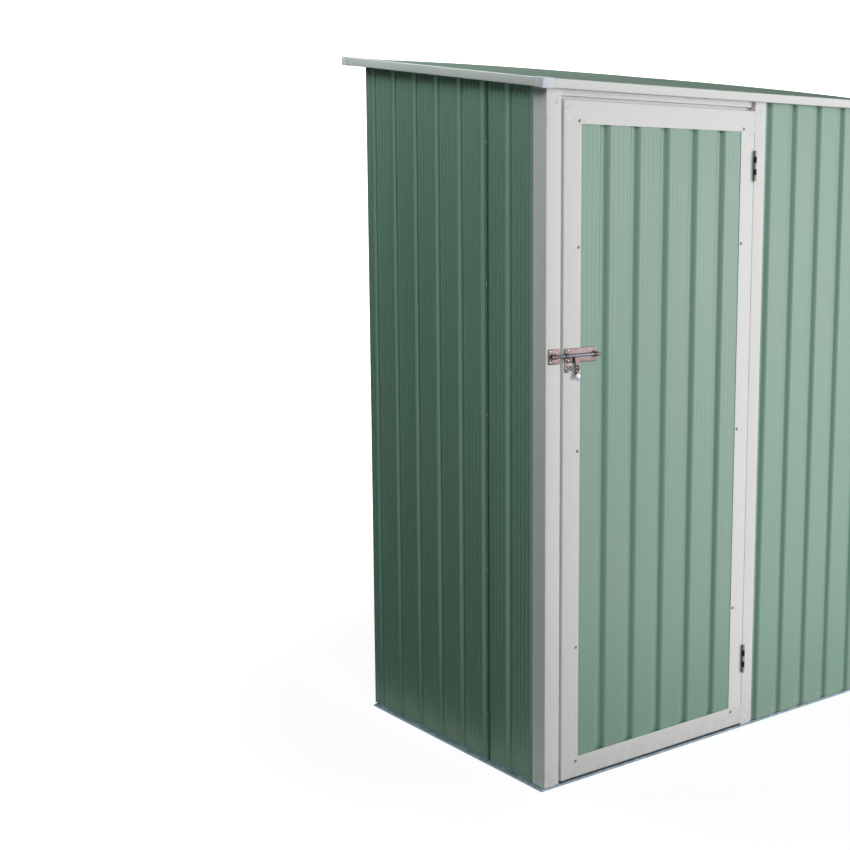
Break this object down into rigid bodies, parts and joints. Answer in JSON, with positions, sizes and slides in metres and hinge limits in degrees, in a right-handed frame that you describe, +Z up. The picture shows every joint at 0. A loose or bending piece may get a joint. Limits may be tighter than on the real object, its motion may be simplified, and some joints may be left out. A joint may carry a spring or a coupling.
{
  "type": "metal tool shed",
  "caption": "Small pent-roofed garden tool shed of ribbed painted steel sheet on a folded steel frame, with one hinged door and a slide bolt.",
  "frame": {"origin": "on the ground under the middle of the roof", "axes": "+Z up, -Y out of the door front, +X to the right as seen from the front"},
  "size_m": [1.43, 0.89, 1.8571],
  "materials": {
    "green_sheet": "satin green coil coating",
    "white_frame": "satin off-white coating",
    "white_cap": "moulded white plastic",
    "galvanised_rail": "galvanised strip",
    "galvanised_frame": "galvanised strip",
    "hinge_steel": "zinc plated",
    "bolt_steel": "bright plated"
  },
  "bodies": {
    "shed": {"back_wall_sheet_left": "green_sheet", "back_wall_sheet_right": "green_sheet", "base_rail_back": "galvanised_rail", "base_rail_front": "galvanised_rail", "base_rail_left": "galvanised_rail", "base_rail_right": "galvanised_rail", "bolt_keeper": "bolt_steel", "corner_post_front_left": "white_frame", "corner_post_front_right": "white_frame", "corner_post_rear_left": "galvanised_frame", "corner_post_rear_right": "galvanised_frame", "door_header": "white_frame", "door_jamb": "white_frame", "front_wall_sheet": "green_sheet", "hinge_frame_leaf_lower": "hinge_steel", "hinge_frame_leaf_upper": "hinge_steel", "left_wall_sheet_front": "green_sheet", "left_wall_sheet_rear": "green_sheet", "mid_rail_back": "galvanised_frame", "mid_rail_front": "galvanised_frame", "mid_rail_left": "galvanised_frame", "mid_rail_right": "galvanised_frame", "right_wall_sheet_front": "green_sheet", "right_wall_sheet_rear": "green_sheet", "roof_corner_caps": "white_cap", "roof_purlin": "galvanised_frame", "roof_sheet_left": "green_sheet", "roof_sheet_right": "green_sheet", "roof_trim_back": "white_frame", "roof_trim_front": "white_frame", "roof_trim_left": "white_frame", "roof_trim_right": "white_frame", "top_rail_back": "galvanised_frame", "top_rail_front": "galvanised_frame", "top_rail_left": "galvanised_frame", "top_rail_right": "galvanised_frame"},
    "door": {"door_bottom_rail": "white_frame", "door_hinge_stile": "white_frame", "door_latch_stile": "white_frame", "door_panel": "green_sheet", "door_top_rail": "white_frame", "hinge_door_leaf_lower": "hinge_steel", "hinge_door_leaf_upper": "hinge_steel", "bolt_plate": "bolt_steel", "padlock_eye": "bolt_steel"},
    "bolt": {"sliding_bolt": "bolt_steel"}
  },
  "joints": [
    {"name": "door_hinge", "type": "hinge", "parent": "shed", "child": "door", "pos_m": [0.016, -0.4353, 0], "axis": [0, 0, 1], "range_deg": [0, 165]},
    {"name": "bolt_slide", "type": "slide", "parent": "door", "child": "bolt", "axis": [-1, 0, 0], "range_m": [-0.018, 0.015]}
  ]
}
